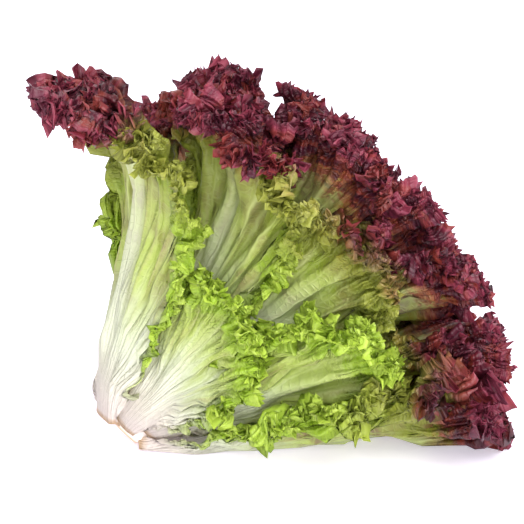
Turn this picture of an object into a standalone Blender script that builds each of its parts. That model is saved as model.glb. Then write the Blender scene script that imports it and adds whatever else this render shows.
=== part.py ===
"""A head of red leaf lettuce, cut at the stem and lying on its side.

The head is a short tapering stem with twenty-four ruffled leaves set round it by the golden angle.
Leaf 1 is the innermost and leaf 24 the outermost. Each leaf is a thin blade with a thick pale rib,
and its margin is thrown into waves with a toothed rim. The leaves are nested in layers that never
meet: a layer is a bowl round the stem's axis, and a leaf's waves stay inside its own room.

Head frame: origin at the centre of the cut, +Z along the stem, +X on the side that faces the floor,
-Y on the side that faces the front. Azimuths turn from +X to +Y. All lengths are in metres.
"""

import math

import bmesh
import bpy
import numpy as np

# Stem
STEM_RADIUS = 0.0095
STEM_TIP_RADIUS = 0.0018
STEM_LENGTH = 0.042
STEM_TAPER = 1.3
STEM_TIP_ROUND = 0.03  # of its length
STEM_RINGS = 8
STEM_SIDES = 20
CUT_BEVEL = 0.0008
MERGE = 0.00001

# How the head lies
STEM_LEAN = math.radians(42.5)  # of the stem's axis above the floor

# The crown that the leaf tips reach, seen from the cut
CROWN_REACH = 0.190
HEART_REACH = 0.180
CROWN_ANGLE = math.radians(51.5)
BASE_ANGLE = math.radians(62)
TIP_ANGLE = math.radians(80)
BOW = 0.36  # length of a layer's end tangents, as a share of its chord

# On the upper side nothing holds the outer leaves, and they curl outwards and stay shorter
UPPER_SPREAD = math.radians(6)
UPPER_CURL = math.radians(52)
UPPER_STRAIGHTER = math.radians(22)
UPPER_SHORTER = 0.018

# Where the leaves grow from the stem
LOWEST_FOOT = 0.002
HIGHEST_FOOT = 0.038
FOOT_CLEARANCE = 0.62  # of the rib's thickness

# Leaves
LEAF_COUNT = 24
HEART_LEAVES = 6
INNER_LEAVES = 14
GOLDEN_ANGLE = math.radians(137.508)
OUTER_LEAF_AZIMUTH = math.radians(190)
INNER_LAYER = 0.11
LEAF_WIDTH = 0.118
SHORTEST_WIDTH = 0.40  # a leaf of no length would have this share of the width
ROUNDEST = 2.0  # a leaf's width over the radius of its layer at the tip, at most
BASE_WIDTH = 0.021
WAIST = 0.5  # narrowing of the blade at its foot
WIDEST_AT = 0.60  # of the leaf's length
FOOT_MARGIN = 0.97  # how far down the foot the margin reaches
MARGIN_TURN = math.radians(152)  # half the turn of the margin round the widest place
FLARE = 1.6  # the veins run up beside the rib, then bend out to the margin
BLADE = 0.0009
RIB = 0.0036
HEART_RIB = 0.0011
RIB_WIDTH = 0.45  # of the base width
RIB_END = 0.85  # of the way out to the margin
GAP = 0.0005

# Half the turn that a leaf may take round the stem's axis. Leaves two apart by the golden angle
# stand 85 degrees apart, so above their feet they pass each other.
MOST_WRAP = math.radians(41.5)
FOOT_WRAP = math.radians(60)
WIDE_FOOT_LAYERS = (0.35, 0.60)
WIDE_FOOT_ENDS = (0.10, 0.35)

# Where the head lies on the floor, layers from these outwards are pressed flat on it, and each
# layer inside them bends up by this much for a whole layer unit
PRESSED_AT_FRONT = 0.95
PRESSED_AT_BACK = 0.845
BACK_SIDE = (0.05, 0.30)  # sine of the azimuth
BACK_STARTS = (0.30, 0.60)
LAYER_RISE = 0.018
RISE_OVER_RIB = 0.0010
RIB_LAYERS = (0, 0.08)
RIB_RUNS = (0.30, 0.70)
TOUCHES = 0.35  # of the blade's thickness: what comes this near to the floor lies on it

# Waves of the margin
WAVES = 12  # on a leaf of the full width
FEWEST_WAVES = 5
COLUMNS = (4, 12, 24, 48, 48)
ROWS = (0.0, 0.30, 0.58, 0.82, 1.0)
WAVE_SHARE = 0.42  # of the room beside the leaf
WAVE_FADE = 0.75
WAVES_GROW = (0, 0.45)  # layers
FRILL_ALONG = (0.10, 0.55)
FRILL_OUT = (0.45, 1.0)
TOOTH = 0.0030

# How many layers on the nearest leaf lies that overlaps this one: the third, or at the narrow
# tip of an outer leaf the fifth
ROOM = 3
MORE_ROOM_AT_TIP = 2
TIP_STARTS = (0.76, 0.94)
OPEN_LAYERS = (0.45, 0.70)

# Leaves that are shorter than the crown, by number: length as a share of the full one
SHORT_LEAVES = {21: 0.50, 19: 0.42, 18: 0.72, 13: 0.85, 23: 0.93}
GREEN_LEAVES = (13, 18, 19, 21)

ROUGHNESS = 0.45
COLOURS = {
    "stem": (0.78, 0.74, 0.62),
    "heart": (0.35, 0.10, 0.10),
    "red": (0.20, 0.02, 0.05),
    "green": (0.42, 0.62, 0.14),
}


def material(name):
    mat = bpy.data.materials.new(name)
    mat.use_nodes = True
    shader = mat.node_tree.nodes["Principled BSDF"]
    shader.inputs["Base Color"].default_value = (*COLOURS[name], 1)
    shader.inputs["Roughness"].default_value = ROUGHNESS
    mat.diffuse_color = (*COLOURS[name], 1)
    return mat


def smooth(low, high, x):
    t = np.clip((x - low) / (high - low), 0, 1)
    return t * t * (3 - 2 * t)


def stem_radius(height):
    """The stem tapers from the cut to its growing tip."""
    share = np.clip(height / STEM_LENGTH, 0, 1)
    return STEM_RADIUS + (STEM_TIP_RADIUS - STEM_RADIUS) * share**STEM_TAPER


def rib_thickness(layer):
    return HEART_RIB + (RIB - HEART_RIB) * layer


def layer_point(along, layer, azimuth):
    """(points, radii) in the head frame. along runs from 0 at the stem to 1 at the crown, layer
    from 0 at the axis to 1 at the outermost leaf. Each layer's section is a cubic curve that
    leaves the stem at a wide angle, straightens, and flares out again at the crown."""
    upper = (0.5 - 0.5 * np.cos(azimuth)) ** 2
    foot_height = LOWEST_FOOT + (HIGHEST_FOOT - LOWEST_FOOT) * (1 - layer)
    foot_radius = stem_radius(foot_height) + GAP + FOOT_CLEARANCE * rib_thickness(layer)
    reach = HEART_REACH + (CROWN_REACH - HEART_REACH - UPPER_SHORTER * upper) * layer**2
    tip_angle = layer * (CROWN_ANGLE + UPPER_SPREAD * upper)
    leave = layer * (BASE_ANGLE - UPPER_STRAIGHTER * upper)
    arrive = layer * (TIP_ANGLE + UPPER_CURL * upper)
    tip_radius, tip_height = reach * np.sin(tip_angle), reach * np.cos(tip_angle)
    arm = BOW * np.hypot(tip_radius - foot_radius, tip_height - foot_height)

    near_foot, near_tip = 3 * along * (1 - along) ** 2, 3 * along**2 * (1 - along)
    at_foot, at_tip = (1 - along) ** 3 + near_foot, along**3 + near_tip
    radius = at_foot * foot_radius + at_tip * tip_radius
    height = at_foot * foot_height + at_tip * tip_height
    radius = radius + arm * (near_foot * np.sin(leave) - near_tip * np.sin(arrive))
    height = height + arm * (near_foot * np.cos(leave) - near_tip * np.cos(arrive))
    return np.stack([radius * np.cos(azimuth), radius * np.sin(azimuth), height], axis=-1), radius


def fan_grid():
    """(across, out, faces) of a leaf: rows of points from the base to the margin, each row finer
    than the one inside it, stitched with triangles. across is -1 to 1, out is 0 to 1."""
    across, out, starts, faces = [], [], [], []
    for columns, row in zip(COLUMNS, ROWS):
        starts.append(len(across))
        across.extend(np.linspace(-1, 1, columns + 1))
        out.extend([row] * (columns + 1))
    for k in range(len(COLUMNS) - 1):
        n, m, i, j = COLUMNS[k], COLUMNS[k + 1], 0, 0
        while i < n or j < m:
            a, b = starts[k] + i, starts[k + 1] + j
            if i == n or (j < m and (j + 0.5) / m <= (i + 0.5) / n):
                faces.append((a, b + 1, b))
                j += 1
            else:
                faces.append((a, a + 1, b))
                i += 1
    return np.array(across), np.array(out), faces


def wrap_limit(layer, along):
    at_foot = smooth(*WIDE_FOOT_LAYERS, layer) * (1 - smooth(*WIDE_FOOT_ENDS, along))
    return MOST_WRAP + (FOOT_WRAP - MOST_WRAP) * at_foot


def wave_room(layer, along):
    """The room beside a leaf, in layer units."""
    leaves = ROOM + MORE_ROOM_AT_TIP * smooth(*TIP_STARTS, along) * smooth(*OPEN_LAYERS, layer)
    return leaves * (1 - INNER_LAYER) / (LEAF_COUNT - 1)


def leaf_mesh(number, name, to_floor, floor):
    """(open ruffled sheet, thickness at each point)."""
    layer = INNER_LAYER + (1 - INNER_LAYER) * (number - 1) / (LEAF_COUNT - 1)
    azimuth = OUTER_LEAF_AZIMUTH + GOLDEN_ANGLE * (LEAF_COUNT - number)
    share = SHORT_LEAVES.get(number, 1.0)
    draw = np.random.default_rng(number)
    across, out, faces = fan_grid()

    # The margin runs from one side of the foot, round the widest place, to the other side
    _, tip_radius = layer_point(share, layer, azimuth)
    width = min(LEAF_WIDTH * (SHORTEST_WIDTH + (1 - SHORTEST_WIDTH) * share), ROUNDEST * tip_radius)
    base_width = BASE_WIDTH * width / LEAF_WIDTH
    turn = across * MARGIN_TURN
    ahead = np.cos(turn)
    waist = 1 - WAIST + WAIST * smooth(0, 1, 1 + ahead)
    rim_side = width / 2 * np.sin(turn) * waist
    rim_along = WIDEST_AT + ahead * np.where(ahead > 0, 1 - WIDEST_AT, WIDEST_AT * FOOT_MARGIN)

    # Waves and teeth
    frill = smooth(*FRILL_ALONG, rim_along) * smooth(*FRILL_OUT, out)
    waves = max(FEWEST_WAVES, round(WAVES * width / LEAF_WIDTH))
    phase = (across + 1) * waves * math.pi + draw.uniform(0, math.tau)
    most_swell = WAVE_SHARE * wave_room(layer, rim_along) * width / LEAF_WIDTH
    most_swell *= smooth(*WAVES_GROW, layer)
    swell = most_swell * draw.uniform(WAVE_FADE, 1, len(phase))
    wave = np.sin(phase) * swell * frill
    tooth = TOOTH / CROWN_REACH * draw.uniform(-1, 1, len(phase)) * (out == 1) * frill
    base_side = across * base_width / 2
    side = base_side + (rim_side - base_side) * out**FLARE
    along = np.clip(rim_along * out + tooth, 0, None) * share

    # Laid on the leaf's layer
    _, radius = layer_point(along, layer, azimuth)
    wrap = wrap_limit(layer, along)
    around = azimuth + wrap * np.tanh(side / radius / wrap)
    points, _ = layer_point(along, layer + wave, around)
    rib = np.exp(-((side / (RIB_WIDTH * base_width)) ** 2)) * (1 - smooth(0, RIB_END, out))
    thickness = BLADE + (rib_thickness(layer) - BLADE) * rib

    # Bent up by the floor
    at_back = smooth(*BACK_SIDE, np.sin(around)) * smooth(*BACK_STARTS, along)
    pressed = PRESSED_AT_FRONT + (PRESSED_AT_BACK - PRESSED_AT_FRONT) * at_back
    over_rib = RISE_OVER_RIB * smooth(*RIB_LAYERS, pressed - layer) * (1 - smooth(*RIB_RUNS, along))
    level = thickness / 2 + over_rib + LAYER_RISE * np.clip(pressed - layer - wave, 0, None)
    lift = np.maximum(0, level - (points @ to_floor + floor))
    points = points + lift[:, None] * to_floor

    mesh = bpy.data.meshes.new(name)
    mesh.from_pydata([tuple(p) for p in points], [], faces)
    return mesh, thickness


def make_leaf(number, name, colour, head, to_floor, floor):
    """A leaf as a solid, thick along its rib and thin at its margin."""
    sheet, thickness = leaf_mesh(number, name, to_floor, floor)
    leaf = bpy.data.objects.new(name, sheet)
    head.users_collection[0].objects.link(leaf)
    leaf.parent = head
    group = leaf.vertex_groups.new(name="thickness")
    most = thickness.max()
    for i, t in enumerate(thickness):
        group.add([i], float(t / most), "REPLACE")
    solid = leaf.modifiers.new("blade", "SOLIDIFY")
    solid.thickness = most
    solid.offset = 0
    solid.use_even_offset = False
    solid.vertex_group = group.name
    leaf.data.materials.append(colour)
    return leaf


def press_flat(leaf, head):
    """Applies the leaf's thickness, flattens what touches the floor, and returns the box."""
    graph = bpy.context.evaluated_depsgraph_get()
    mesh = bpy.data.meshes.new_from_object(leaf.evaluated_get(graph))
    leaf.modifiers.clear()
    leaf.data = mesh
    frame = np.array(head.matrix_world)
    turn, place = frame[:3, :3], frame[:3, 3]
    points = np.empty(len(mesh.vertices) * 3)
    mesh.vertices.foreach_get("co", points)
    points = points.reshape(-1, 3) @ turn.T + place
    points[points[:, 2] < BLADE * TOUCHES, 2] = 0
    mesh.vertices.foreach_set("co", ((points - place) @ turn).ravel())
    bm = bmesh.new()
    bm.from_mesh(mesh)
    bmesh.ops.triangulate(bm, faces=bm.faces)
    bm.to_mesh(mesh)
    bm.free()
    return points.min(axis=0), points.max(axis=0)


def make_stem(head, colour):
    """A turned cone with a flat cut and a blunt growing tip."""
    profile = [(0.0, STEM_LENGTH)]
    for k in range(STEM_RINGS, -1, -1):
        height = STEM_LENGTH * (1 - STEM_TIP_ROUND) * k / STEM_RINGS
        profile.append((float(stem_radius(height)), max(height, CUT_BEVEL)))
    profile += [(STEM_RADIUS - CUT_BEVEL, 0.0), (0.0, 0.0)]
    mesh = bpy.data.meshes.new("stem")
    edges = [(i, i + 1) for i in range(len(profile) - 1)]
    mesh.from_pydata([(r, 0, z) for r, z in profile], edges, [])
    stem = bpy.data.objects.new("stem", mesh)
    head.users_collection[0].objects.link(stem)
    stem.parent = head
    turn = stem.modifiers.new("turn", "SCREW")
    turn.angle = math.tau
    turn.steps = turn.render_steps = STEM_SIDES
    turn.use_merge_vertices = True
    turn.merge_threshold = MERGE
    stem.data.materials.append(colour)


def leaf_name(number):
    if number <= HEART_LEAVES:
        return f"heart_leaf_{number:02d}"
    if number <= INNER_LEAVES:
        return f"inner_leaf_{number:02d}"
    return f"outer_leaf_{number:02d}"


def leaf_tone(number):
    if number in GREEN_LEAVES:
        return "green"
    return "heart" if number <= HEART_LEAVES else "red"


def main():
    for old in list(bpy.data.objects):
        bpy.data.objects.remove(old)
    lettuce = bpy.data.collections.new("red_leaf_lettuce")
    bpy.context.scene.collection.children.link(lettuce)
    colours = {name: material(name) for name in COLOURS}

    # The lower edge of the cut stands on the floor
    head = bpy.data.objects.new("head", None)
    lettuce.objects.link(head)
    head.rotation_euler = (0, math.pi / 2 - STEM_LEAN, 0)
    floor = STEM_RADIUS * math.cos(STEM_LEAN) - CUT_BEVEL * math.sin(STEM_LEAN)
    head.location = (0, 0, floor)
    bpy.context.view_layer.update()
    to_floor = np.array(head.matrix_world)[2, :3]

    make_stem(head, colours["stem"])
    leaves = []
    for number in range(1, LEAF_COUNT + 1):
        colour = colours[leaf_tone(number)]
        leaves.append(make_leaf(number, leaf_name(number), colour, head, to_floor, floor))
    bpy.context.view_layer.update()
    boxes = np.array([press_flat(leaf, head) for leaf in leaves])

    # The part's origin is under the middle of its box
    middle = (boxes[:, 0].min(axis=0) + boxes[:, 1].max(axis=0)) / 2
    head.location = (-middle[0], -middle[1], floor)


main()
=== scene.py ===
"""Looks of the head of red leaf lettuce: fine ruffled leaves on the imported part, floor, light, camera.

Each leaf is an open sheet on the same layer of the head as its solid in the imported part. Its margin
has smaller and smaller waves on the large ones, and ends in small lobes. All lengths are in metres.
"""

import math

import bpy
import numpy as np
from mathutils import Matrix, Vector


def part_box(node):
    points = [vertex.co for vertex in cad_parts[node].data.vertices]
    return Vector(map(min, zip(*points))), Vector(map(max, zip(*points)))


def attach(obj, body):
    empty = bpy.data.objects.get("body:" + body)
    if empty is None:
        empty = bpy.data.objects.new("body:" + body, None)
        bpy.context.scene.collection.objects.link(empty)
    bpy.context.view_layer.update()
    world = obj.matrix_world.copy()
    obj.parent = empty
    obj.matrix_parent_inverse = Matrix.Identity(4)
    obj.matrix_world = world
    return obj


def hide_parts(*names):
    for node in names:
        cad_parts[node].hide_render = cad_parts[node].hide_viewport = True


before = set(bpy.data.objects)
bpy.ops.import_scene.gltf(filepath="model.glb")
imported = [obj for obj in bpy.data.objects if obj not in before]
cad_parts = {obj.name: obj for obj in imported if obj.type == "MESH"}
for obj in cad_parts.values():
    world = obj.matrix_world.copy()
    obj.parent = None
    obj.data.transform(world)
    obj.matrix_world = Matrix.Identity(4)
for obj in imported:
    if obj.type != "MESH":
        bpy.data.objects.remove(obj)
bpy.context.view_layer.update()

# The head, with the same values as the part's source, apart from one in SHORT_LEAVES
STEM_RADIUS = 0.0095
STEM_TIP_RADIUS = 0.0018
STEM_LENGTH = 0.042
STEM_TAPER = 1.3
CUT_BEVEL = 0.0008
STEM_LEAN = math.radians(42.5)
CROWN_REACH = 0.190
HEART_REACH = 0.180
CROWN_ANGLE = math.radians(51.5)
BASE_ANGLE = math.radians(62)
TIP_ANGLE = math.radians(80)
BOW = 0.36
UPPER_SPREAD = math.radians(6)
UPPER_CURL = math.radians(52)
UPPER_STRAIGHTER = math.radians(22)
UPPER_SHORTER = 0.018
LOWEST_FOOT = 0.002
HIGHEST_FOOT = 0.038
FOOT_CLEARANCE = 0.62
LEAF_COUNT = 24
HEART_LEAVES = 6
INNER_LEAVES = 14
GOLDEN_ANGLE = math.radians(137.508)
OUTER_LEAF_AZIMUTH = math.radians(190)
INNER_LAYER = 0.11
LEAF_WIDTH = 0.118
SHORTEST_WIDTH = 0.40
ROUNDEST = 2.0
BASE_WIDTH = 0.021
WAIST = 0.5
WIDEST_AT = 0.60
FOOT_MARGIN = 0.97
MARGIN_TURN = math.radians(152)
FLARE = 1.6
BLADE = 0.0009
RIB = 0.0036
HEART_RIB = 0.0011
RIB_WIDTH = 0.45
RIB_END = 0.85
GAP = 0.0005
MOST_WRAP = math.radians(41.5)
FOOT_WRAP = math.radians(60)
WIDE_FOOT_LAYERS = (0.35, 0.60)
WIDE_FOOT_ENDS = (0.10, 0.35)
PRESSED_AT_FRONT = 0.95
PRESSED_AT_BACK = 0.845
BACK_SIDE = (0.05, 0.30)
BACK_STARTS = (0.30, 0.60)
LAYER_RISE = 0.018
RISE_OVER_RIB = 0.0010
RIB_LAYERS = (0, 0.08)
RIB_RUNS = (0.30, 0.70)
WAVES = 12
FEWEST_WAVES = 5
WAVE_SHARE = 0.42
WAVE_MEAN = 0.88
WAVES_GROW = (0, 0.45)
SWELL_PACES = (9, 17, 23, 31, 47)
FRILL_ALONG = (0.10, 0.55)
FRILL_OUT = (0.45, 1.0)
ROOM = 3
MORE_ROOM_AT_TIP = 2
TIP_STARTS = (0.76, 0.94)
OPEN_LAYERS = (0.45, 0.70)
SHORT_LEAVES = {21: 0.50, 19: 0.42, 18: 0.72, 13: 0.85, 23: 0.91}  # 23 is 0.93 in the part
GREEN_LEAVES = (13, 18, 19, 21)

# The fine mesh. Rows beside the margin are given by their distance from it, and the rows inside
# them by their share of what is left; zones nearer the margin have more columns
MARGIN_SAMPLES = 4001
ZONE_COLUMNS = (12, 4, 1)  # in each column of the coarse zone
COARSE_COLUMNS = 284  # of a leaf of the full size
FEWEST_COLUMNS = 60
FINE_ROWS = (0, 0.0008, 0.0018, 0.0030, 0.0045, 0.0063)
MIDDLE_ROWS = (0.0084, 0.0109, 0.0139, 0.0175, 0.0220)
COARSE_ROWS = (0.11, 0.23, 0.36, 0.50, 0.64, 0.77, 0.88, 0.95, 1.0)
LONG_RAY = 0.110  # the shortest way from foot to margin that the rows are laid out for
FULL_MARGIN = 0.55  # length of the waved margin of a leaf of the full size
EVEN = 0.35  # how much of the even spacing is kept
TUCK = (0.5, 1.0)  # rows that close the foot on the stem: share of the way inwards
TUCK_DOWN = 0.0012
TUCK_INSIDE = 0.0004
FOOT_STRIP = 0.1  # share of the UV map that the closed foot takes

# Random curves and fields
RIPPLE_WAVES = 7
RELIEF_WAVES = 9
WAVELENGTH_SPREAD = (0.6, 1.7)
SMALLEST_NORMAL = 1e-12
SMALLEST_LENGTH = 1e-9

# The rib and the foot. Pairs are where something starts and where it is full, or where it starts
# to fade and where it ends, as a share of the way to the margin unless said otherwise
RIDGE_WIDTH = 0.30  # of the foot's width
RIDGE_HEIGHT = 0.5  # of the rib's thickness
RIDGE_ENDS = (0.2, 0.9)
FOOT_SWELL = 0.0044
SWELL_ENDS = (0.04, 0.34)
SWOLLEN_LAYERS = (0.5, 0.9)
FOOT_CLOSES = 1.3  # times the swell, at the sides of the foot
FOOT_SIDES = (0.62, 1.0)  # across the foot
HIPS = {24: 0.0052}  # single leaves swell more, further up
HIPS_START = (0.0, 0.22)
HIPS_END = (0.24, 0.62)

# The blade's relief: heights, and the lengths of the bumps
BLADE_STARTS = (0.20, 0.60)
BESIDE_RIB = (0, 0.012)  # metres from the rib
PLEATS = 26
PLEAT = 0.0011
PLEAT_DRIFT = 0.06
FOLD = 0.0016
FOLD_LENGTH = 0.035
FOLD_NARROWER = 4
FOLD_STARTS = (0.05, 0.20)
BLISTER = 0.0020
BLISTER_LENGTH = 0.012
CRUMPLE = 0.0012
CRUMPLE_LENGTH = 0.0045
CRUMPLE_ENDS = (0.055, 0.030)  # metres from the margin
CRUMPLE_STARTS = (0.0, 0.006)

# How far single leaves roll at the margin, and how far from it the roll starts
ROLLS = {
    24: (0.003, 0.040),
    23: (-0.019, 0.050),
    16: (0.006, 0.030),
    11: (0.006, 0.030),
}
ROLL_STARTS = (0.62, 0.85)  # along the leaf

# Smaller waves on the waves: length along the waved margin, height, how far from the margin they
# start, and how far their crests lean over
RUFFLES = (
    (0.0100, 0.0036, 0.040, 0.05),
    (0.0054, 0.0027, 0.032, 0.10),
    (0.0032, 0.0018, 0.0180, 0.12),
)
RUFFLE_FADE = 1.25
RUFFLE_MEAN = 0.95
RUFFLE_SPREAD = 0.30
RUFFLE_LIMITS = (0.60, 1.3)
RUFFLE_DRIFT = 0.045
TURN_SLOW = 0.16  # turns by which the waves run ahead or behind, over TURN_SLOW_LENGTH metres
TURN_SLOW_LENGTH = 0.06
TURN_FAST = 0.10  # the same, over TURN_FAST_WAVES waves
TURN_FAST_WAVES = 3
FULLER = {24: 1.45, 23: 1.25}  # times the height of the waves, for single leaves
QUIET = {24: 0.35, 16: 0.45}  # times the height of the waves on a leaf's left side, below its tip
QUIET_SIDE = (0, 0.3)  # across the leaf
QUIET_ENDS = (0.72, 0.92)  # along the leaf
CALM_BELOW = (0.08, 0.45)  # along the leaf: no waves by the foot
SOFTER = 1.15  # waves of the green leaves are longer
BLUR = 4  # rings of faces over which the direction of the waves is smoothed
FOLLOW = 0.45  # how far each wave turns its direction to the one that it rides on

# Lobes, curl and frizz of the margin
LOBE = 0.0046
LOBE_ROOT = 0.0044
LOBE_FADE = 1.3
LOBE_SIZES = (0.1, 1)
LOBE_POINT = 1.4
LOBE_BACK = 0.18  # the notches between the lobes go this far inwards
LOBE_ASIDE = 0.9  # of its length, at most
LOBE_SWAY = 0.6
LOBE_BASE_ROW = 3
CURL = 0.0030
CURL_ROOT = 0.0090
CURL_MEAN = 0.4
CURL_LENGTH = 0.08
CURL_LIMITS = (-0.8, 1.2)
FRIZZ = 0.0007
FRIZZ_LENGTH = 0.0030
FRIZZ_ROOT = 0.0100
FLOOR_SOFT = 0.0030  # points below this height are pressed into the space over the floor

# The stem as it is turned
STEM_BULGE = 0.0030  # the bases of small leaves, between the feet of the large ones
STEM_BULGE_START = (0.0, 0.004)
STEM_BULGE_END = (0.016, 0.034)
STEM_SIDES = 72
STEM_ROWS = 30
STEM_FIRST_ROW = 0.002
STEM_LAST_ROW = 0.97  # of its length
CUT_RINGS = (0.0, 0.3, 0.6, 0.8)  # of its radius
CUT_ROUND = (0.0002, 0.0003)
STEM_LOBES = ((0.02, 5, 0), (0.012, 11, 1))  # height as a share of the radius, count and start


def smooth(low, high, x):
    t = np.clip((x - low) / (high - low), 0, 1)
    return t * t * (3 - 2 * t)


def stem_radius(height):
    share = np.clip(height / STEM_LENGTH, 0, 1)
    return STEM_RADIUS + (STEM_TIP_RADIUS - STEM_RADIUS) * share**STEM_TAPER


def rib_thickness(layer):
    return HEART_RIB + (RIB - HEART_RIB) * layer


def foot_height(layer):
    return LOWEST_FOOT + (HIGHEST_FOOT - LOWEST_FOOT) * (1 - layer)


def layer_point(along, layer, azimuth):
    """(points, radii) in the head frame, as in the part's source."""
    upper = (0.5 - 0.5 * np.cos(azimuth)) ** 2
    foot = foot_height(layer)
    foot_radius = stem_radius(foot) + GAP + FOOT_CLEARANCE * rib_thickness(layer)
    reach = HEART_REACH + (CROWN_REACH - HEART_REACH - UPPER_SHORTER * upper) * layer**2
    tip_angle = layer * (CROWN_ANGLE + UPPER_SPREAD * upper)
    leave = layer * (BASE_ANGLE - UPPER_STRAIGHTER * upper)
    arrive = layer * (TIP_ANGLE + UPPER_CURL * upper)
    tip_radius, tip_height = reach * np.sin(tip_angle), reach * np.cos(tip_angle)
    arm = BOW * np.hypot(tip_radius - foot_radius, tip_height - foot)

    near_foot, near_tip = 3 * along * (1 - along) ** 2, 3 * along**2 * (1 - along)
    at_foot, at_tip = (1 - along) ** 3 + near_foot, along**3 + near_tip
    radius = at_foot * foot_radius + at_tip * tip_radius
    height = at_foot * foot + at_tip * tip_height
    radius = radius + arm * (near_foot * np.sin(leave) - near_tip * np.sin(arrive))
    height = height + arm * (near_foot * np.cos(leave) - near_tip * np.cos(arrive))
    return np.stack([radius * np.cos(azimuth), radius * np.sin(azimuth), height], axis=-1), radius


def wrap_limit(layer, along):
    at_foot = smooth(*WIDE_FOOT_LAYERS, layer) * (1 - smooth(*WIDE_FOOT_ENDS, along))
    return MOST_WRAP + (FOOT_WRAP - MOST_WRAP) * at_foot


def wave_room(layer, along):
    leaves = ROOM + MORE_ROOM_AT_TIP * smooth(*TIP_STARTS, along) * smooth(*OPEN_LAYERS, layer)
    return leaves * (1 - INNER_LAYER) / (LEAF_COUNT - 1)


def ripple(draw, x, wavelength):
    """A smooth random curve along x, mostly between -1 and 1."""
    total = np.zeros_like(x)
    for _ in range(RIPPLE_WAVES):
        pace = math.tau / (wavelength * draw.uniform(*WAVELENGTH_SPREAD))
        total += np.sin(x * pace + draw.uniform(0, math.tau))
    return total / math.sqrt(RIPPLE_WAVES)


def relief(draw, x, y, wavelength):
    """A smooth random field over x and y, mostly between -1 and 1."""
    total = np.zeros_like(x)
    for _ in range(RELIEF_WAVES):
        turn = draw.uniform(0, math.tau)
        pace = math.tau / (wavelength * draw.uniform(*WAVELENGTH_SPREAD))
        total += np.sin((x * math.cos(turn) + y * math.sin(turn)) * pace + draw.uniform(0, math.tau))
    return total / math.sqrt(RELIEF_WAVES)


def grid(row_columns):
    """(first point of each row, faces) of rows of points, where the columns change by whole steps."""
    starts = np.concatenate([[0], np.cumsum([n + 1 for n in row_columns])])[:-1]
    faces = []
    for k in range(len(row_columns) - 1):
        outer, inner = row_columns[k], row_columns[k + 1]
        step = outer // inner
        i = np.arange(inner)
        faces.append(np.stack([starts[k + 1] + i, starts[k + 1] + i + 1, starts[k] + (i + 1) * step], 1))
        for j in range(step):
            a = starts[k] + i * step + j
            faces.append(np.stack([starts[k + 1] + i, a + 1, a], 1))
    return starts, np.concatenate(faces)


def gather(faces, per_face, count):
    """At each point, the direction of the sum over its faces."""
    total = np.zeros((count, 3))
    for k in range(3):
        for axis in range(3):
            total[:, axis] += np.bincount(faces[:, k], per_face[:, axis], count)
    return total / np.maximum(np.linalg.norm(total, axis=1), SMALLEST_NORMAL)[:, None]


def normals(points, faces, blur=0):
    """At each point, blurred over so many rings of faces."""
    a, b, c = (points[faces[:, k]] for k in range(3))
    result = gather(faces, np.cross(b - a, c - a), len(points))
    for _ in range(blur):
        per_face = result[faces[:, 0]] + result[faces[:, 1]] + result[faces[:, 2]]
        result = gather(faces, per_face, len(points))
    return result


def margin(across, width):
    """(side, along) of the margin in the leaf's plan."""
    turn = across * MARGIN_TURN
    ahead = np.cos(turn)
    waist = 1 - WAIST + WAIST * smooth(0, 1, 1 + ahead)
    rim_side = width / 2 * np.sin(turn) * waist
    rim_along = WIDEST_AT + ahead * np.where(ahead > 0, 1 - WIDEST_AT, WIDEST_AT * FOOT_MARGIN)
    return rim_side, rim_along


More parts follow.
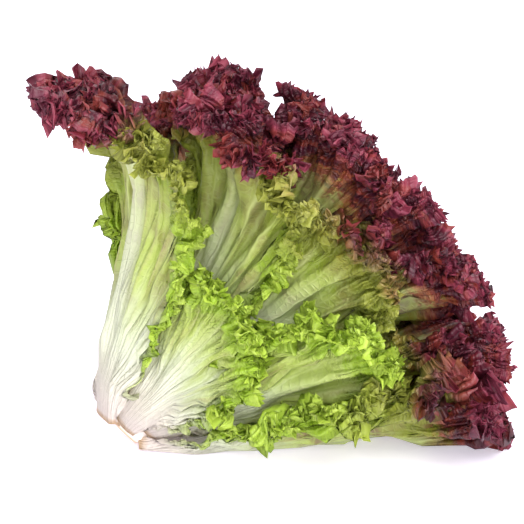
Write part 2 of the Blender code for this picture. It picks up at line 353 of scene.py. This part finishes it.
class Leaf:
    """A leaf's own measures, the same as in the part's source."""

    def __init__(self, number):
        self.layer = INNER_LAYER + (1 - INNER_LAYER) * (number - 1) / (LEAF_COUNT - 1)
        self.azimuth = OUTER_LEAF_AZIMUTH + GOLDEN_ANGLE * (LEAF_COUNT - number)
        self.share = SHORT_LEAVES.get(number, 1.0)
        self.draw = np.random.default_rng(number)
        self.wave_start = self.draw.uniform(0, math.tau)
        _, tip_radius = layer_point(self.share, self.layer, self.azimuth)
        wide = LEAF_WIDTH * (SHORTEST_WIDTH + (1 - SHORTEST_WIDTH) * self.share)
        self.width = min(wide, ROUNDEST * tip_radius)
        self.base_width = BASE_WIDTH * self.width / LEAF_WIDTH
        self.swells = self.draw.uniform(0, math.tau, len(SWELL_PACES))

    def plan(self, across, out):
        """(side, along) in the leaf's plan."""
        rim_side, rim_along = margin(across, self.width)
        base_side = across * self.base_width / 2
        return base_side + (rim_side - base_side) * out**FLARE, rim_along * out * self.share

    def ray(self, across):
        rim_side, rim_along = margin(across, self.width)
        return np.maximum(np.hypot(rim_side, rim_along * CROWN_REACH * self.share), LONG_RAY * self.share)

    def sheet(self, across, out):
        """Points of the waved sheet in the head frame, lifted by the floor."""
        side, along = self.plan(across, out)
        _, rim_along = margin(across, self.width)
        frill = smooth(*FRILL_ALONG, rim_along) * smooth(*FRILL_OUT, out)
        waves = max(FEWEST_WAVES, round(WAVES * self.width / LEAF_WIDTH))
        phase = (across + 1) * waves * math.pi + self.wave_start
        swell = sum(np.sin(across * pace + start) for pace, start in zip(SWELL_PACES, self.swells))
        swell = swell / len(SWELL_PACES)
        room = WAVE_SHARE * wave_room(self.layer, rim_along) * self.width / LEAF_WIDTH
        room *= smooth(*WAVES_GROW, self.layer)
        wave = np.sin(phase) * (WAVE_MEAN + (1 - WAVE_MEAN) * swell) * room * frill
        _, radius = layer_point(along, self.layer, self.azimuth)
        wrap = wrap_limit(self.layer, along)
        around = self.azimuth + wrap * np.tanh(side / radius / wrap)
        points, _ = layer_point(along, self.layer + wave, around)
        rib = np.exp(-((side / (RIB_WIDTH * self.base_width)) ** 2)) * (1 - smooth(0, RIB_END, out))
        at_back = smooth(*BACK_SIDE, np.sin(around)) * smooth(*BACK_STARTS, along)
        pressed = PRESSED_AT_FRONT + (PRESSED_AT_BACK - PRESSED_AT_FRONT) * at_back
        over_rib = RISE_OVER_RIB * smooth(*RIB_LAYERS, pressed - self.layer) * (1 - smooth(*RIB_RUNS, along))
        thickness = BLADE + (rib_thickness(self.layer) - BLADE) * rib
        level = thickness / 2 + over_rib + LAYER_RISE * np.clip(pressed - self.layer - wave, 0, None)
        return points + np.maximum(0, level - (points @ UP + FLOOR))[:, None] * UP


def length_along(points):
    return np.concatenate([[0], np.cumsum(np.linalg.norm(np.diff(points, axis=0), axis=1))])


def leaf_points(number, spacing=None):
    """(points in the head frame, faces, attributes, uv, spacing) of a leaf's fine sheet.

    spacing, (places along the margin, how far along each is), says where columns are needed. It
    comes from the same leaf's first making, which has them evenly spaced on the large waves only.
    """
    leaf = Leaf(number)
    draw, layer = leaf.draw, leaf.layer
    steps = np.linspace(-1, 1, MARGIN_SAMPLES)
    run = length_along(leaf.sheet(steps, np.ones_like(steps)))
    count = int(np.clip(round(COARSE_COLUMNS * run[-1] / FULL_MARGIN), FEWEST_COLUMNS, COARSE_COLUMNS))
    if spacing is None:
        spacing = steps, run / run[-1]
    row_columns, across, out, tuck = [], [], [], []
    for zone, marks in enumerate((FINE_ROWS, MIDDLE_ROWS, COARSE_ROWS)):
        columns = count * ZONE_COLUMNS[zone]
        places = np.interp(np.linspace(0, spacing[1][-1], columns + 1), spacing[1], spacing[0])
        ray = leaf.ray(places)
        inner = MIDDLE_ROWS[-1] / ray
        for mark in marks:
            row_columns.append(columns)
            across.append(places)
            out.append(1 - (mark / ray if zone < 2 else inner + mark * (1 - inner)))
            tuck.append(np.zeros_like(places))
    for inward in TUCK:
        row_columns.append(count)
        across.append(across[-1])
        out.append(np.zeros_like(out[-1]))
        tuck.append(np.full_like(out[-1], inward))
    starts, faces = grid(row_columns)
    across, out, tuck = (np.concatenate(x) for x in (across, out, tuck))
    points = leaf.sheet(across, out)
    side, along = leaf.plan(across, out)
    _, rim_along = margin(across, leaf.width)
    inwards = (1 - out) * leaf.ray(across)
    plan_along = along * CROWN_REACH
    rim = slice(0, row_columns[0] + 1)
    rim_across = across[rim]

    # The rib stands out on the outer side, and the blade between is pleated, blistered and crumpled
    narrow = np.exp(-((side / (RIDGE_WIDTH * leaf.base_width)) ** 2)) * (1 - smooth(*RIDGE_ENDS, out))
    open_blade = smooth(*BLADE_STARTS, out) * smooth(*BESIDE_RIB, np.abs(side))
    bump = rib_thickness(layer) * RIDGE_HEIGHT * narrow
    middle = 1 - FOOT_CLOSES * smooth(*FOOT_SIDES, np.abs(across))
    bump = bump + FOOT_SWELL * middle * smooth(*SWOLLEN_LAYERS, layer) * (1 - smooth(*SWELL_ENDS, out))
    bump = bump + HIPS.get(number, 0.0) * smooth(*HIPS_START, out) * (1 - smooth(*HIPS_END, out))
    pleats = np.cos(across * PLEATS * math.pi + ripple(draw, plan_along, PLEAT_DRIFT))
    bump = bump + PLEAT * pleats * open_blade
    folds = relief(draw, side * FOLD_NARROWER, plan_along, FOLD_LENGTH)
    bump = bump + FOLD * folds * smooth(*FOLD_STARTS, out)
    bump = bump + BLISTER * relief(draw, side, plan_along, BLISTER_LENGTH) * open_blade
    near = smooth(*CRUMPLE_ENDS, inwards) * smooth(*CRUMPLE_STARTS, inwards)
    bump = bump + CRUMPLE * relief(draw, side, plan_along, CRUMPLE_LENGTH) * near
    roll, roll_root = ROLLS.get(number, (0, 1))
    bump = bump + roll * np.clip(1 - inwards / roll_root, 0, 1) ** 2 * smooth(*ROLL_STARTS, rim_along)
    points += normals(points, faces) * bump[:, None]

    # Ruffles on the waves, each riding on the ones before
    calm = smooth(*CALM_BELOW, rim_along)
    quiet = smooth(*QUIET_SIDE, across) * (1 - smooth(*QUIET_ENDS, rim_along))
    calm = calm * (1 - (1 - QUIET.get(number, 1.0)) * quiet)
    outer = normals(points, faces, BLUR)
    soft = SOFTER if number in GREEN_LEAVES else 1.0
    for wavelength, height, root, lean in RUFFLES:
        wavelength, height = wavelength * soft, height * FULLER.get(number, 1.0)
        run = length_along(points[rim])
        turns = run / wavelength + TURN_SLOW * ripple(draw, run, TURN_SLOW_LENGTH)
        turns = turns + TURN_FAST * ripple(draw, run, wavelength * TURN_FAST_WAVES)
        sizes = np.clip(RUFFLE_MEAN + RUFFLE_SPREAD * ripple(draw, run, RUFFLE_DRIFT), *RUFFLE_LIMITS)
        phase = np.interp(across, rim_across, turns) * math.tau
        amount = np.clip(1 - inwards / root, 0, 1) ** RUFFLE_FADE * calm
        amount = amount * np.interp(across, rim_across, sizes)
        spread = np.zeros_like(points)
        for start, columns in zip(starts, row_columns):
            row = slice(start, start + columns + 1)
            at = np.interp(across[row], rim_across, run)
            spread[row] = np.gradient(points[row], axis=0) / np.gradient(at)[:, None]
        spread /= np.maximum(np.linalg.norm(spread, axis=1), 1)[:, None]
        points += outer * (height * amount * np.sin(phase))[:, None]
        points -= spread * (lean * wavelength * amount * np.sin(2 * phase))[:, None]
        outer = outer * (1 - FOLLOW) + normals(points, faces, BLUR) * FOLLOW
        outer /= np.maximum(np.linalg.norm(outer, axis=1), SMALLEST_LENGTH)[:, None]

    # Lobes of the margin, each with its own length and direction, the margin's frizz and its curl
    fine = row_columns[0] + 1
    base = starts[LOBE_BASE_ROW]
    outwards = points[:fine] - points[base : base + fine]
    outwards /= np.maximum(np.linalg.norm(outwards, axis=1), SMALLEST_LENGTH)[:, None]
    half_turns = phase[:fine] / math.pi
    tooth = np.floor(half_turns + 0.5).astype(int)
    lobes = tooth.max() - tooth.min() + 1
    tooth_length = draw.uniform(*LOBE_SIZES, lobes)[tooth - tooth.min()]
    lift, sway = draw.uniform(-LOBE_ASIDE, LOBE_ASIDE, (2, lobes))[:, tooth - tooth.min()]
    point = (1 - 2 * np.abs(half_turns - tooth)) ** LOBE_POINT
    lobe = (point * tooth_length - LOBE_BACK) * calm[:fine]
    turn = CURL * np.clip(CURL_MEAN + ripple(draw, run, CURL_LENGTH), *CURL_LIMITS) * calm[:fine]
    aside = outer[:fine] * (lift * point)[:, None] + spread[:fine] * (sway * point * LOBE_SWAY)[:, None]
    tips = LOBE / soft * (outwards * lobe[:, None] + aside * calm[:fine, None])
    frizz = relief(draw, np.interp(across, rim_across, run), inwards, FRIZZ_LENGTH) * calm
    points += outer * (FRIZZ * frizz * np.clip(1 - inwards / FRIZZ_ROOT, 0, 1))[:, None]
    for start, mark in zip(starts, FINE_ROWS):
        row = slice(start, start + fine)
        points[row] += tips * max(0, 1 - mark / LOBE_ROOT) ** LOBE_FADE
        points[row] += outer[row] * (turn * max(0, 1 - mark / CURL_ROOT) ** 2)[:, None]

    waved = length_along(points[rim])
    spacing = rim_across, waved / waved[-1] + EVEN * np.interp(rim_across, spacing[0], spacing[1])

    # The foot closes on the stem
    closed = tuck > 0
    radius_now = np.hypot(points[closed, 0], points[closed, 1])
    target = stem_radius(foot_height(layer) - TUCK_DOWN) - TUCK_INSIDE
    scale = 1 + (target / radius_now - 1) * tuck[closed]
    points[closed, 0] *= scale
    points[closed, 1] *= scale
    points[closed, 2] -= TUCK_DOWN * np.minimum(1, tuck[closed] * 2)

    crown = np.linalg.norm(points, axis=1) / CROWN_REACH
    attributes = {"rim": inwards, "rib": narrow, "crown": crown, "side": side, "plan_along": plan_along}
    uv = np.stack([(across + 1) / 2, out * (1 - FOOT_STRIP) + FOOT_STRIP * (1 - tuck)], 1)
    return points, faces, attributes, uv, spacing


def place(points):
    """From the head frame to the world, with nothing under the floor."""
    world = points @ TURN.T + PLACE
    low = world[:, 2] < FLOOR_SOFT
    world[low, 2] = FLOOR_SOFT * np.exp(world[low, 2] / FLOOR_SOFT - 1)
    return world


def build_mesh(name, points, faces, attributes, uv):
    mesh = bpy.data.meshes.new(name)
    mesh.from_pydata(points.tolist(), [], faces.tolist(), shade_flat=False)
    for label, values in attributes.items():
        mesh.attributes.new(label, "FLOAT", "POINT").data.foreach_set("value", values.astype(np.float32))
    layer = mesh.uv_layers.new(name="OFBake")
    corners = np.empty(len(mesh.loops), np.int32)
    mesh.loops.foreach_get("vertex_index", corners)
    layer.data.foreach_set("uv", uv[corners].astype(np.float32).ravel())
    piece = bpy.data.objects.new(name, mesh)
    bpy.context.scene.collection.objects.link(piece)
    return piece


NOISE_DETAIL = 3.0
MIX_COLOURS = (6, 7)  # the mix node's sockets for colours, and its colour output
MIX_RESULT = 2


class Shader:
    """Short names for the nodes of a material."""

    def __init__(self, name, roughness):
        self.material = bpy.data.materials.new(name)
        self.material.use_nodes = True
        self.tree = self.material.node_tree
        self.out = self.tree.nodes["Principled BSDF"]
        self.out.inputs["Roughness"].default_value = roughness

    def put(self, socket, value):
        if isinstance(value, bpy.types.NodeSocket):
            self.tree.links.new(value, socket)
        else:
            socket.default_value = value

    def value(self, name):
        node = self.tree.nodes.new("ShaderNodeAttribute")
        node.attribute_name = name
        return node.outputs["Fac"]

    def math(self, kind, *values, clamp=False):
        node = self.tree.nodes.new("ShaderNodeMath")
        node.operation = kind
        node.use_clamp = clamp
        for socket, value in zip(node.inputs, values):
            self.put(socket, value)
        return node.outputs[0]

    def fit(self, value, low, high, to_low=0.0, to_high=1.0):
        node = self.tree.nodes.new("ShaderNodeMapRange")
        node.interpolation_type = "SMOOTHSTEP"
        for socket, v in zip(node.inputs, (value, low, high, to_low, to_high)):
            self.put(socket, v)
        return node.outputs[0]

    def vector(self, x, y, z):
        node = self.tree.nodes.new("ShaderNodeCombineXYZ")
        for socket, value in zip(node.inputs, (x, y, z)):
            self.put(socket, value)
        return node.outputs[0]

    def noise(self, vector, scale, detail=NOISE_DETAIL):
        node = self.tree.nodes.new("ShaderNodeTexNoise")
        self.put(node.inputs["Vector"], vector)
        node.inputs["Scale"].default_value = scale
        node.inputs["Detail"].default_value = detail
        return node.outputs["Fac"]

    def cells(self, vector, scale):
        node = self.tree.nodes.new("ShaderNodeTexVoronoi")
        node.feature = "DISTANCE_TO_EDGE"
        self.put(node.inputs["Vector"], vector)
        node.inputs["Scale"].default_value = scale
        return node.outputs["Distance"]

    def ramp(self, value, stops):
        node = self.tree.nodes.new("ShaderNodeValToRGB")
        self.put(node.inputs["Fac"], value)
        while len(node.color_ramp.elements) < len(stops):
            node.color_ramp.elements.new(0.5)
        for element, (position, colour) in zip(node.color_ramp.elements, stops):
            element.position = position
            element.color = (*linear(colour), 1)
        return node.outputs["Color"]

    def mix(self, share, low, high):
        node = self.tree.nodes.new("ShaderNodeMix")
        node.data_type = "RGBA"
        self.put(node.inputs["Factor"], share)
        for k, value in zip(MIX_COLOURS, (low, high)):
            if not isinstance(value, bpy.types.NodeSocket):
                value = (*linear(value), 1)
            self.put(node.inputs[k], value)
        return node.outputs[MIX_RESULT]

    def bump(self, height, distance):
        node = self.tree.nodes.new("ShaderNodeBump")
        node.inputs["Distance"].default_value = distance
        self.put(node.inputs["Height"], height)
        self.put(self.out.inputs["Normal"], node.outputs[0])


def linear(colour):
    """From screen values of 0 to 255 to the renderer's own, by the curve that screens use."""
    c = np.asarray(colour) / 255
    return tuple(np.where(c < 0.04045, c / 12.92, ((c + 0.055) / 1.055) ** 2.4).tolist())


# Screen colours. The first two are bands that follow each other from the margin inwards
RED_STOPS = (
    # The first stop, lighter and lilac at the very margin, is a painted highlight: the lilac sheen that
    # gloss throws on the frill's edges
    (0.00, (148, 61, 80)),
    (0.10, (102, 30, 42)),
    (0.30, (78, 24, 32)),
    (0.50, (124, 48, 38)),
    (0.66, (166, 98, 56)),
    (0.80, (166, 156, 82)),
    (1.00, (178, 190, 100)),
)
GREEN_STOPS = (
    (0.00, (182, 206, 78)),
    (0.30, (158, 190, 50)),
    (0.70, (166, 196, 62)),
    (1.00, (182, 200, 98)),
)
VEIN = (204, 214, 138)
PALE = (224, 229, 202)
TAN = (186, 164, 128)
RIB_COLOUR = (232, 236, 208)
FOOT_COLOUR = (234, 222, 214)
CUT_COLOUR = (204, 172, 132)
PURPLE = (122, 84, 78)
BRONZE = (142, 126, 62)
RUST = (144, 60, 44)
# Dark plum: partly the leaf's own colour, partly painted shade of the gaps between the frill's lobes
PLUM = (58, 16, 36)
CUT_PALE = (232, 216, 184)
CUT_RING = (214, 186, 152)
CUT_SPOTS = (178, 136, 104)

# Looks of a leaf. Noises and cells are given by how many there are to the metre. Groups of four
# numbers say from which value to which, and the share before and after
LEAF_ROUGHNESS = 0.40
GLOW = 0.32  # share of the light that passes through
BROAD_NOISE = 45.0
FINE_NOISE = 260.0
FINE_DETAIL = 4.0
RAY_WANDER = 0.03
STREAKS_ACROSS = 34.0
STREAKS_ALONG = 2.5
MARGIN_BROAD = 0.8  # how far the noises move the margin's bands
MARGIN_FINE = 0.9
CROWN_BROAD = 0.25
LEFT_SIDE = (0.012, 0.040)
RED_BLEND = 0.06
BRONZE_STARTS = 0.28  # before the red, as a share of the head's reach
BRONZE_FULL = 0.04
BRONZE_SHARE = 0.6
BRONZE_FADES = (0.5, 1.2, 1.0, 0.35)
SPOT_NOISE = 190.0
SPOTS_FADE = (0.45, 0.8, 1.0, 0.0)
RUST_SPOTS = (0.50, 0.62, 0.0, 0.6)
# Plum spots: partly the leaf's own dark plum, partly painted shade of the gaps between the lobes
PLUM_AND_GAP_SHADE_SPOTS = (0.40, 0.51, 0.65, 0.0)
LARGE_VEINS = (14.0, 0.09)  # count over a leaf, and width as a share of their distance
SMALL_VEINS = (42.0, 0.16)
SMALL_VEIN_SHARE = 0.45
NET_CELLS = 230.0
NET_WIDTH = 0.10
NET_SHARE = 0.35
INSIDE_FROM = 0.35  # the blade inside the margin, as a share of the red's depth
INSIDE_FULL = 0.9
STAIN = (-0.06, 0.12)
TAN_STREAKS = (0.52, 0.72)
TAN_SHARE = 0.5
VEIN_SHARE = 0.6
PALE_STREAKS = 0.30
PALE_FULL = 0.45
RIB_SHARE = 0.95
FOOT_FADES = (0.06, 0.30, 1.0, 0.0)
CUT_WANDER = 0.004
CUT_EDGE = (0.0006, 0.0040, 0.9, 0.0)
VEIN_HEIGHT = 0.6
FINE_HEIGHT = 0.8
STREAK_HEIGHT = 0.8
GRAIN_NOISE = 900.0
GRAIN_DETAIL = 2.0
GRAIN_HEIGHT = 2.2
GRAIN_FADES = (0.012, 0.045, 1.0, 0.0)
LEAF_BUMP = 0.0009

# Looks of the stem
STEM_ROUGHNESS = 0.5
CUT_NOISE = 420.0
CUT_DETAIL = 4.0
CUT_SPOT_SHARE = 0.5
CUT_RING_FROM = (0.55, 0.9)
CUT_TO_SIDE = (0.0004, 0.0016)
STEM_BUMP = 0.0004


def leaf_material(name, depth, mottling, red_from, white_to, later=0.0):
    """red_from is where the red margin starts and white_to where the white foot ends, both as a
    share of the head's reach. On the leaf's left side the red starts further out, by later. depth
    is how far the red reaches in from the margin, in metres."""
    s = Shader(name, LEAF_ROUGHNESS)
    rim, rib, crown = s.value("rim"), s.value("rib"), s.value("crown")
    plan_along = s.value("plan_along")
    plan = s.vector(s.value("side"), plan_along, 0.0)
    broad = s.math("SUBTRACT", s.noise(plan, BROAD_NOISE), 0.5)
    fine = s.math("SUBTRACT", s.noise(plan, FINE_NOISE, FINE_DETAIL), 0.5)
    uv = s.tree.nodes.new("ShaderNodeUVMap")
    uv.uv_map = "OFBake"
    split = s.tree.nodes.new("ShaderNodeSeparateXYZ")
    s.put(split.inputs[0], uv.outputs[0])
    ray = s.math("ADD", split.outputs[0], s.math("MULTIPLY", broad, RAY_WANDER))
    streak_across = s.math("MULTIPLY", ray, STREAKS_ACROSS)
    streak_along = s.math("MULTIPLY", split.outputs[1], STREAKS_ALONG)
    streak = s.noise(s.vector(streak_across, streak_along, 0.0), 1.0)

    # The margin's colour: red at the crown, yellow-green further down, and bronze between; the lighter lilac
    # at the red margin's very edge is a painted highlight
    share = s.math("DIVIDE", rim, depth)
    share = s.math("ADD", share, s.math("MULTIPLY", broad, MARGIN_BROAD))
    share = s.math("ADD", share, s.math("MULTIPLY", fine, MARGIN_FINE))
    place_out = s.math("ADD", crown, s.math("MULTIPLY", broad, CROWN_BROAD))
    place_out = s.math("SUBTRACT", place_out, s.fit(s.value("side"), *LEFT_SIDE, 0.0, later))
    redness = s.fit(place_out, red_from - RED_BLEND, red_from + RED_BLEND)
    greenness = s.math("SUBTRACT", 1.0, redness)
    colour = s.mix(greenness, s.ramp(share, RED_STOPS), s.ramp(share, GREEN_STOPS))
    bronze = s.fit(place_out, red_from - BRONZE_STARTS, red_from - BRONZE_FULL)
    bronze = s.math("MULTIPLY", bronze, s.math("MULTIPLY", greenness, BRONZE_SHARE))
    colour = s.mix(s.math("MULTIPLY", bronze, s.fit(share, *BRONZE_FADES)), colour, BRONZE)

    # Rust spots in the red, and plum spots that are partly the leaf's own dark plum and partly painted shade
    # of the dark gaps between the lobes
    spots = s.noise(plan, SPOT_NOISE)
    in_red = s.math("MULTIPLY", redness, s.fit(share, *SPOTS_FADE))
    colour = s.mix(s.math("MULTIPLY", in_red, s.fit(spots, *RUST_SPOTS)), colour, RUST)
    # Plum spots: partly the leaf's own colour, partly painted shade of the gaps between the lobes
    colour = s.mix(s.math("MULTIPLY", in_red, s.fit(spots, *PLUM_AND_GAP_SHADE_SPOTS)), colour, PLUM)

    # Side veins from the rib to the margin, and a net of small ones between them
    lines = []
    for count, width in (LARGE_VEINS, SMALL_VEINS):
        place_in = s.math("PINGPONG", s.math("MULTIPLY", ray, count), 0.5)
        lines.append(s.fit(place_in, 0.0, width, 1.0, 0.0))
    net = s.fit(s.cells(plan, NET_CELLS), 0.0, NET_WIDTH, 1.0, 0.0)
    vein = s.math("MAXIMUM", lines[0], s.math("MULTIPLY", lines[1], SMALL_VEIN_SHARE))
    vein = s.math("MAXIMUM", vein, s.math("MULTIPLY", net, NET_SHARE))
    inside = s.fit(rim, depth * INSIDE_FROM, depth * INSIDE_FULL)
    stain = s.math("MULTIPLY", s.fit(broad, *STAIN), s.math("SUBTRACT", 1.0, vein))
    stain = s.math("MULTIPLY", stain, s.math("MULTIPLY", inside, mottling))
    colour = s.mix(stain, colour, PURPLE)
    tanned = s.math("MULTIPLY", s.fit(streak, *TAN_STREAKS), s.math("MULTIPLY", inside, TAN_SHARE))
    colour = s.mix(tanned, colour, TAN)
    colour = s.mix(s.math("MULTIPLY", vein, s.math("MULTIPLY", inside, VEIN_SHARE)), colour, VEIN)

    # The blade pales towards the foot in streaks, the foot is cream and its cut edge tan
    pale = s.math("MULTIPLY", s.math("SUBTRACT", streak, 0.5), PALE_STREAKS)
    pale = s.fit(s.math("ADD", crown, pale), white_to * PALE_FULL, white_to, 1.0, 0.0)
    colour = s.mix(s.math("MULTIPLY", pale, inside), colour, PALE)
    colour = s.mix(s.math("MULTIPLY", rib, RIB_SHARE, clamp=True), colour, RIB_COLOUR)
    colour = s.mix(s.fit(crown, *FOOT_FADES), colour, FOOT_COLOUR)
    cut_edge = s.math("ADD", plan_along, s.math("MULTIPLY", fine, CUT_WANDER))
    colour = s.mix(s.fit(cut_edge, *CUT_EDGE), colour, CUT_COLOUR)
    s.put(s.out.inputs["Base Color"], colour)

    height = s.math("ADD", s.math("MULTIPLY", vein, VEIN_HEIGHT), s.math("MULTIPLY", fine, FINE_HEIGHT))
    height = s.math("ADD", height, s.math("MULTIPLY", streak, STREAK_HEIGHT))
    grain = s.math("MULTIPLY", s.fit(rim, *GRAIN_FADES), GRAIN_HEIGHT)
    grain = s.math("MULTIPLY", s.noise(plan, GRAIN_NOISE, GRAIN_DETAIL), grain)
    s.bump(s.math("ADD", height, grain), LEAF_BUMP)

    # Some light passes through the blade
    through = s.tree.nodes.new("ShaderNodeBsdfTranslucent")
    s.put(through.inputs["Color"], colour)
    both = s.tree.nodes.new("ShaderNodeMixShader")
    both.inputs[0].default_value = GLOW
    s.tree.links.new(s.out.outputs[0], both.inputs[1])
    s.tree.links.new(through.outputs[0], both.inputs[2])
    s.tree.links.new(both.outputs[0], s.tree.nodes["Material Output"].inputs["Surface"])
    return s.material


def stem_material():
    s = Shader("cut_stem", STEM_ROUGHNESS)
    height, ring = s.value("height"), s.value("ring")
    where = s.tree.nodes.new("ShaderNodeTexCoord").outputs["Object"]
    spots = s.noise(where, CUT_NOISE, CUT_DETAIL)
    cut = s.mix(s.fit(ring, *CUT_RING_FROM), CUT_PALE, CUT_RING)
    cut = s.mix(s.math("MULTIPLY", spots, CUT_SPOT_SHARE), cut, CUT_SPOTS)
    colour = s.mix(s.fit(height, *CUT_TO_SIDE), cut, FOOT_COLOUR)
    s.put(s.out.inputs["Base Color"], colour)
    s.bump(spots, STEM_BUMP)
    return s.material


def make_stem():
    """A turned cone with a flat cut, as the part's stem, that bulges between the leaves' feet."""
    profile = [(STEM_RADIUS * share, 0.0) for share in CUT_RINGS]
    profile.append((STEM_RADIUS - CUT_BEVEL, 0.0))
    profile.append((STEM_RADIUS - CUT_ROUND[0], CUT_ROUND[1]))
    profile.append((STEM_RADIUS, CUT_BEVEL))
    for height in np.linspace(STEM_FIRST_ROW, STEM_LENGTH * STEM_LAST_ROW, STEM_ROWS):
        bulge = STEM_BULGE * smooth(*STEM_BULGE_START, height) * (1 - smooth(*STEM_BULGE_END, height))
        profile.append((float(stem_radius(height) + bulge), float(height)))
    profile.append((0.0, STEM_LENGTH))
    turn = np.linspace(0, math.tau, STEM_SIDES + 1)
    wobble = np.ones_like(turn)
    for share, count, start in STEM_LOBES:
        wobble += share * np.sin(count * turn + start)
    rows = []
    for radius, height in profile:
        x, y = radius * wobble * np.cos(turn), radius * wobble * np.sin(turn)
        rows.append(np.stack([x, y, np.full_like(turn, height)], 1))
    points = np.concatenate(rows)

    # No faces where the rings at the two ends are a single point
    i, j = np.meshgrid(np.arange(STEM_SIDES), np.arange(len(profile) - 1))
    a = (j * (STEM_SIDES + 1) + i).ravel()
    b = a + STEM_SIDES + 1
    faces = np.concatenate([np.stack([a, a + 1, b + 1], 1), np.stack([a, b + 1, b], 1)])
    p, q, r = (points[faces[:, k]] for k in range(3))
    faces = faces[np.linalg.norm(np.cross(q - p, r - p), axis=1) > SMALLEST_NORMAL]

    around = np.tile(turn / math.tau, len(profile))
    down = np.repeat(np.linspace(0, 1, len(profile)), STEM_SIDES + 1)
    ring = np.hypot(points[:, 0], points[:, 1]) / STEM_RADIUS
    attributes = {"height": points[:, 2], "ring": ring}
    return build_mesh("cut_stem", place(points), faces, attributes, np.stack([around, down], 1))


def node_name(number):
    if number <= HEART_LEAVES:
        return f"heart_leaf_{number:02d}"
    if number <= INNER_LEAVES:
        return f"inner_leaf_{number:02d}"
    return f"outer_leaf_{number:02d}"


# Where the head lies. Its axes start at the middle of the cut; the part's origin is on the floor
low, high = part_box("stem")
UP = np.array([-math.cos(STEM_LEAN), 0, math.sin(STEM_LEAN)])
FLOOR = STEM_RADIUS * math.cos(STEM_LEAN) - CUT_BEVEL * math.sin(STEM_LEAN)
TURN = np.array(
    [
        [math.sin(STEM_LEAN), 0, math.cos(STEM_LEAN)],
        [0, 1, 0],
        [-math.cos(STEM_LEAN), 0, math.sin(STEM_LEAN)],
    ]
)
cut_x = low[0] + (STEM_RADIUS - CUT_BEVEL) * math.sin(STEM_LEAN)
PLACE = np.array([cut_x, (low[1] + high[1]) / 2, FLOOR])

# For the leaves that differ from the rest: the red margin's depth, the blade's purple mottling,
# where the red starts, where the white foot ends and how much later the left side turns red
LOOKS = {
    24: (0.050, 0.45, 0.75, 0.50, 0.13),
    23: (0.055, 0.8, 0.78, 0.50),
    21: (0.020, 0.0, 1.50, 0.42),
    19: (0.020, 0.0, 1.50, 0.30),
    18: (0.026, 0.0, 1.50, 0.46),
    16: (0.048, 0.35, 0.78, 0.62, 0.08),
    13: (0.040, 0.4, 0.80, 0.62),
    10: (0.045, 0.8, 0.76, 0.55),
    8: (0.045, 0.6, 0.76, 0.55),
}
OTHER_LOOKS = (0.058, 0.35, 0.74, 0.50)
for number in range(1, LEAF_COUNT + 1):
    *_, spacing = leaf_points(number)
    points, faces, attributes, uv, _ = leaf_points(number, spacing)
    leaf = build_mesh(f"leaf_{number:02d}", place(points), faces, attributes, uv)
    looks = LOOKS.get(number, OTHER_LOOKS)
    leaf.data.materials.append(leaf_material(f"leaf_{number:02d}", *looks))
    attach(leaf, "root")
    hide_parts(node_name(number))

stem = make_stem()
stem.data.materials.append(stem_material())
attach(stem, "root")
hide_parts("stem")

# Floor, light and camera
WHITE = (0.92, 0.88, 1.0, 1)
FLOOR_HALF = 20
FLOOR_ROUGHNESS = 0.9
FLOOR_GLOW = (0.93, 0.89, 1.0, 1)
FLOOR_GLOW_STRENGTH = 0.42
WORLD_COLOUR = (1, 1, 1, 1)
WORLD_STRENGTH = 0.86
LIGHT_SIZE = 0.9
LIGHT_AIM = (0, 0, 0.08)
LIGHTS = (
    ("key", (0.35, -0.95, 1.1), 20),
    ("fill", (-0.35, -1.2, 0.45), 12),
    ("back", (0.3, 1.0, 1.1), 10),
)
CAMERA_AZIMUTH = math.radians(-17)
CAMERA_ELEVATION = math.radians(18)
CAMERA_DISTANCE = 1.15
CAMERA_AIM = (0.0028, 0.0, 0.0745)
CAMERA_SENSOR = 36
HALF_VIEW = 0.1250  # half of what the camera sees at the head, in metres

floor_mesh = bpy.data.meshes.new("floor")
floor_corners = [(x * FLOOR_HALF, y * FLOOR_HALF, 0) for x, y in ((-1, -1), (1, -1), (1, 1), (-1, 1))]
floor_mesh.from_pydata(floor_corners, [], [(0, 1, 2, 3)])
floor = bpy.data.objects.new("floor", floor_mesh)
floor_shader = Shader("floor", FLOOR_ROUGHNESS)
floor_shader.out.inputs["Base Color"].default_value = WHITE
floor_shader.out.inputs["Emission Color"].default_value = FLOOR_GLOW
floor_shader.out.inputs["Emission Strength"].default_value = FLOOR_GLOW_STRENGTH
floor_mesh.materials.append(floor_shader.material)
bpy.context.scene.collection.objects.link(floor)

scene = bpy.context.scene
scene.view_settings.view_transform = "Standard"
world = bpy.data.worlds.new("studio")
world.use_nodes = True
world.node_tree.nodes["Background"].inputs["Color"].default_value = WORLD_COLOUR
world.node_tree.nodes["Background"].inputs["Strength"].default_value = WORLD_STRENGTH
scene.world = world

for name, place_at, power in LIGHTS:
    lamp = bpy.data.lights.new(name, "AREA")
    lamp.size = LIGHT_SIZE
    lamp.energy = power
    holder = bpy.data.objects.new(name, lamp)
    holder.location = place_at
    away = np.array(place_at) - np.array(LIGHT_AIM)
    tilt = math.acos(away[2] / np.linalg.norm(away))
    holder.rotation_euler = (tilt, 0, math.atan2(away[1], away[0]) + math.pi / 2)
    scene.collection.objects.link(holder)

lens = bpy.data.cameras.new("camera")
lens.sensor_width = CAMERA_SENSOR
lens.angle = 2 * math.atan(HALF_VIEW / CAMERA_DISTANCE)
camera = bpy.data.objects.new("camera", lens)
camera.location = (
    CAMERA_AIM[0] + CAMERA_DISTANCE * math.cos(CAMERA_ELEVATION) * math.sin(CAMERA_AZIMUTH),
    CAMERA_AIM[1] - CAMERA_DISTANCE * math.cos(CAMERA_ELEVATION) * math.cos(CAMERA_AZIMUTH),
    CAMERA_AIM[2] + CAMERA_DISTANCE * math.sin(CAMERA_ELEVATION),
)
camera.rotation_euler = (math.pi / 2 - CAMERA_ELEVATION, 0, CAMERA_AZIMUTH)
scene.collection.objects.link(camera)
scene.camera = camera
